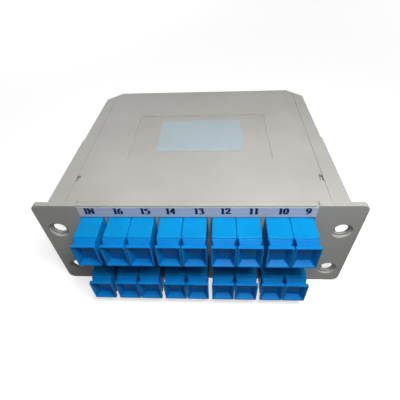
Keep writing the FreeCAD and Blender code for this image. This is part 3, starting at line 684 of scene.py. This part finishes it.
def printed_word(word, across):
    """Grids [point, edge, xyz] in mm for one word in front of the strip, centred at across."""
    advance = [LETTER_WIDTHS.get(sign, DIGIT_WIDTH) for sign in word]
    lefts = np.cumsum([0, *advance[:-1]]) - sum(advance) / 2
    grids = []
    for sign, left in zip(word, lefts):
        for layer, points in enumerate(SIGNS[sign]):
            edge = ribbon(smooth_line(points)) + [left, -0.5]
            flat = edge * [SIGN_HEIGHT * SIGN_STRETCH, SIGN_HEIGHT] + [across, PRINT_MIDDLE]
            y = np.full(flat.shape[:2], STRIP_FRONT - LAYER * (layer + 1))
            grids.append(np.stack([flat[..., 0], y, flat[..., 1]], -1))
    return grids


def sheet_piece(name, grids, material):
    """One object from open grids [row, column, xyz] in millimetres, turned to face forward."""
    points, faces, first = [], [], 0
    for grid in grids:
        index = first + np.arange(grid.shape[0] * grid.shape[1]).reshape(grid.shape[:2])
        quads = np.stack([index[:-1, :-1], index[:-1, 1:], index[1:, 1:], index[1:, :-1]], -1)
        faces += quads.reshape(-1, 4).tolist()
        points.append(grid.reshape(-1, 3))
        first += index.size
    piece = new_piece(name, np.vstack(points), faces, material)
    shape = bmesh.new()
    shape.from_mesh(piece.data)
    bmesh.ops.reverse_faces(shape, faces=[face for face in shape.faces if face.normal.y > 0])
    shape.to_mesh(piece.data)
    shape.free()
    return piece


words = [grid for word, across in PRINT.items() for grid in printed_word(word, across)]
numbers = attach(sheet_piece("port_numbers", words, INK), "cassette")
print("the print has", len(words), "strokes")

# %% [markdown]
# ## Camera
#
# The camera stands in front of the panel and a little to its right, and looks down on the
# cassette at 44 degrees. It is close, about 16 cm from the cassette's middle, which makes
# the front look much wider than the back. A small roll gives the look of a hand-held view.

# %% Place the camera
CAMERA_PLACE = Vector((9.0, -123.72, 133.56)) * MM
TURNED, LOOKS_DOWN, ROLL = 4.76, 44.03, -3.39


def rotation(degrees, axis):
    """A turn about one axis, as a matrix."""
    return Matrix.Rotation(np.radians(degrees), 4, axis)


camera = bpy.data.objects.new("camera", bpy.data.cameras.new("camera"))
camera.matrix_world = (Matrix.Translation(CAMERA_PLACE) @ rotation(TURNED, "Z")
                       @ rotation(90 - LOOKS_DOWN, "X") @ rotation(ROLL, "Z"))
camera.data.sensor_width = 36
camera.data.lens = 28.22
camera.data.clip_start = 10 * MM
bpy.context.scene.collection.objects.link(camera)
bpy.context.scene.camera = camera
print("camera lens", camera.data.lens, "mm")

# %% [markdown]
# ## Light
#
# The top of the cassette is bright and its front is in shade, so the main light is a small
# softbox that hangs close above the front edge. Being close, it fades towards the back. A
# weak and very soft sun overhead lights the top and the floor evenly. Two large lamps far
# behind and to the right show the back and the sides in other views. They have no part in
# the reflections, so they leave no streaks on the blue plastic.

# %% Add the lamps
def lamp(name, kind, place, target, **settings):
    """Adds a lamp at a place in metres, turned towards a target."""
    light = bpy.data.lights.new(name, kind)
    for key, value in settings.items():
        setattr(light, key, value)
    holder = bpy.data.objects.new(name, light)
    holder.location = place
    holder.rotation_euler = (Vector(target) - Vector(place)).to_track_quat("-Z", "Y").to_euler()
    holder.visible_camera = False
    bpy.context.scene.collection.objects.link(holder)
    return holder


lamp("overhead_sun", "SUN", (-0.06, 0.02, 0.8), (0, 0, 0), energy=0.25, angle=0.6)
lamp("near_softbox", "AREA", (0.045, -0.096, 0.21), (0.01, -0.03, 0.05), energy=0.35, size=0.08)
lamp("back_fill", "AREA", (-0.5, 0.8, 0.2), (0, 0, 0.02), energy=2.6, size=0.4,
     specular_factor=0.0)
lamp("side_fill", "AREA", (0.8, 0.4, 0.18), (0, 0, 0.02), energy=2.0, size=0.4,
     specular_factor=0.0)

# %% [markdown]
# ## World and floor
#
# The background is white for the camera and for reflections, and dim for the light that
# falls on the object. The floor does the same: it is pale where it is seen, and grey for
# the light it throws back, or the shaded front would be lit from below. It still receives
# the cassette's shadow.

# %% Make the world and the floor
def seen_ray(tree):
    """1 for rays from the camera, in a reflection or through glass, else 0."""
    path = add(tree, "ShaderNodeLightPath")
    first = add(tree, "ShaderNodeMath", {0: path.outputs["Is Camera Ray"],
                                         1: path.outputs["Is Glossy Ray"]}, operation="MAXIMUM")
    both = add(tree, "ShaderNodeMath", {0: first.outputs[0],
                                        1: path.outputs["Is Transmission Ray"]},
               operation="MAXIMUM")
    return both.outputs[0]


world = bpy.data.worlds.new("studio")
world.use_nodes = True
bpy.context.scene.world = world
sky = world.node_tree
sky.nodes.clear()
seen = seen_ray(sky)
dim = add(sky, "ShaderNodeBackground", {"Color": linear("#f4f6ff"), "Strength": 0.06})
white = add(sky, "ShaderNodeBackground", {"Color": linear("#ffffff"), "Strength": 1.0})
mixed = add(sky, "ShaderNodeMixShader", {0: seen, 1: dim.outputs[0], 2: white.outputs[0]})
add(sky, "ShaderNodeOutputWorld", {"Surface": mixed.outputs[0]})


OWN_LIGHT, FLOOR_HALF = 0.66, 3


def pale_floor():
    """Painted board, pale to the eye. Part of its light is its own, so it stays white far away."""
    material, tree, shader, _ = start_finish("board_painted_pale", Roughness=0.9)
    tree.links.new(blend_colours(tree, seen_ray(tree), "#5c5c5c", "#dededc"),
                   shader.inputs["Base Color"])
    shader.inputs["Emission Color"].default_value = linear("#ffffff")
    glow = add(tree, "ShaderNodeMath", {0: seen_ray(tree), 1: OWN_LIGHT}, operation="MULTIPLY")
    tree.links.new(glow.outputs[0], shader.inputs["Emission Strength"])
    return material


corners = FLOOR_HALF * np.array([(-1, -1, 0), (1, -1, 0), (1, 1, 0), (-1, 1, 0)], float)
board = bpy.data.meshes.new("floor")
board.from_pydata(corners.tolist(), [], [(0, 1, 2, 3)])
board.materials.append(pale_floor())
floor = bpy.data.objects.new("floor", board)
bpy.context.scene.collection.objects.link(floor)
bpy.context.scene.view_settings.view_transform = "Standard"
print("floor and world are ready")
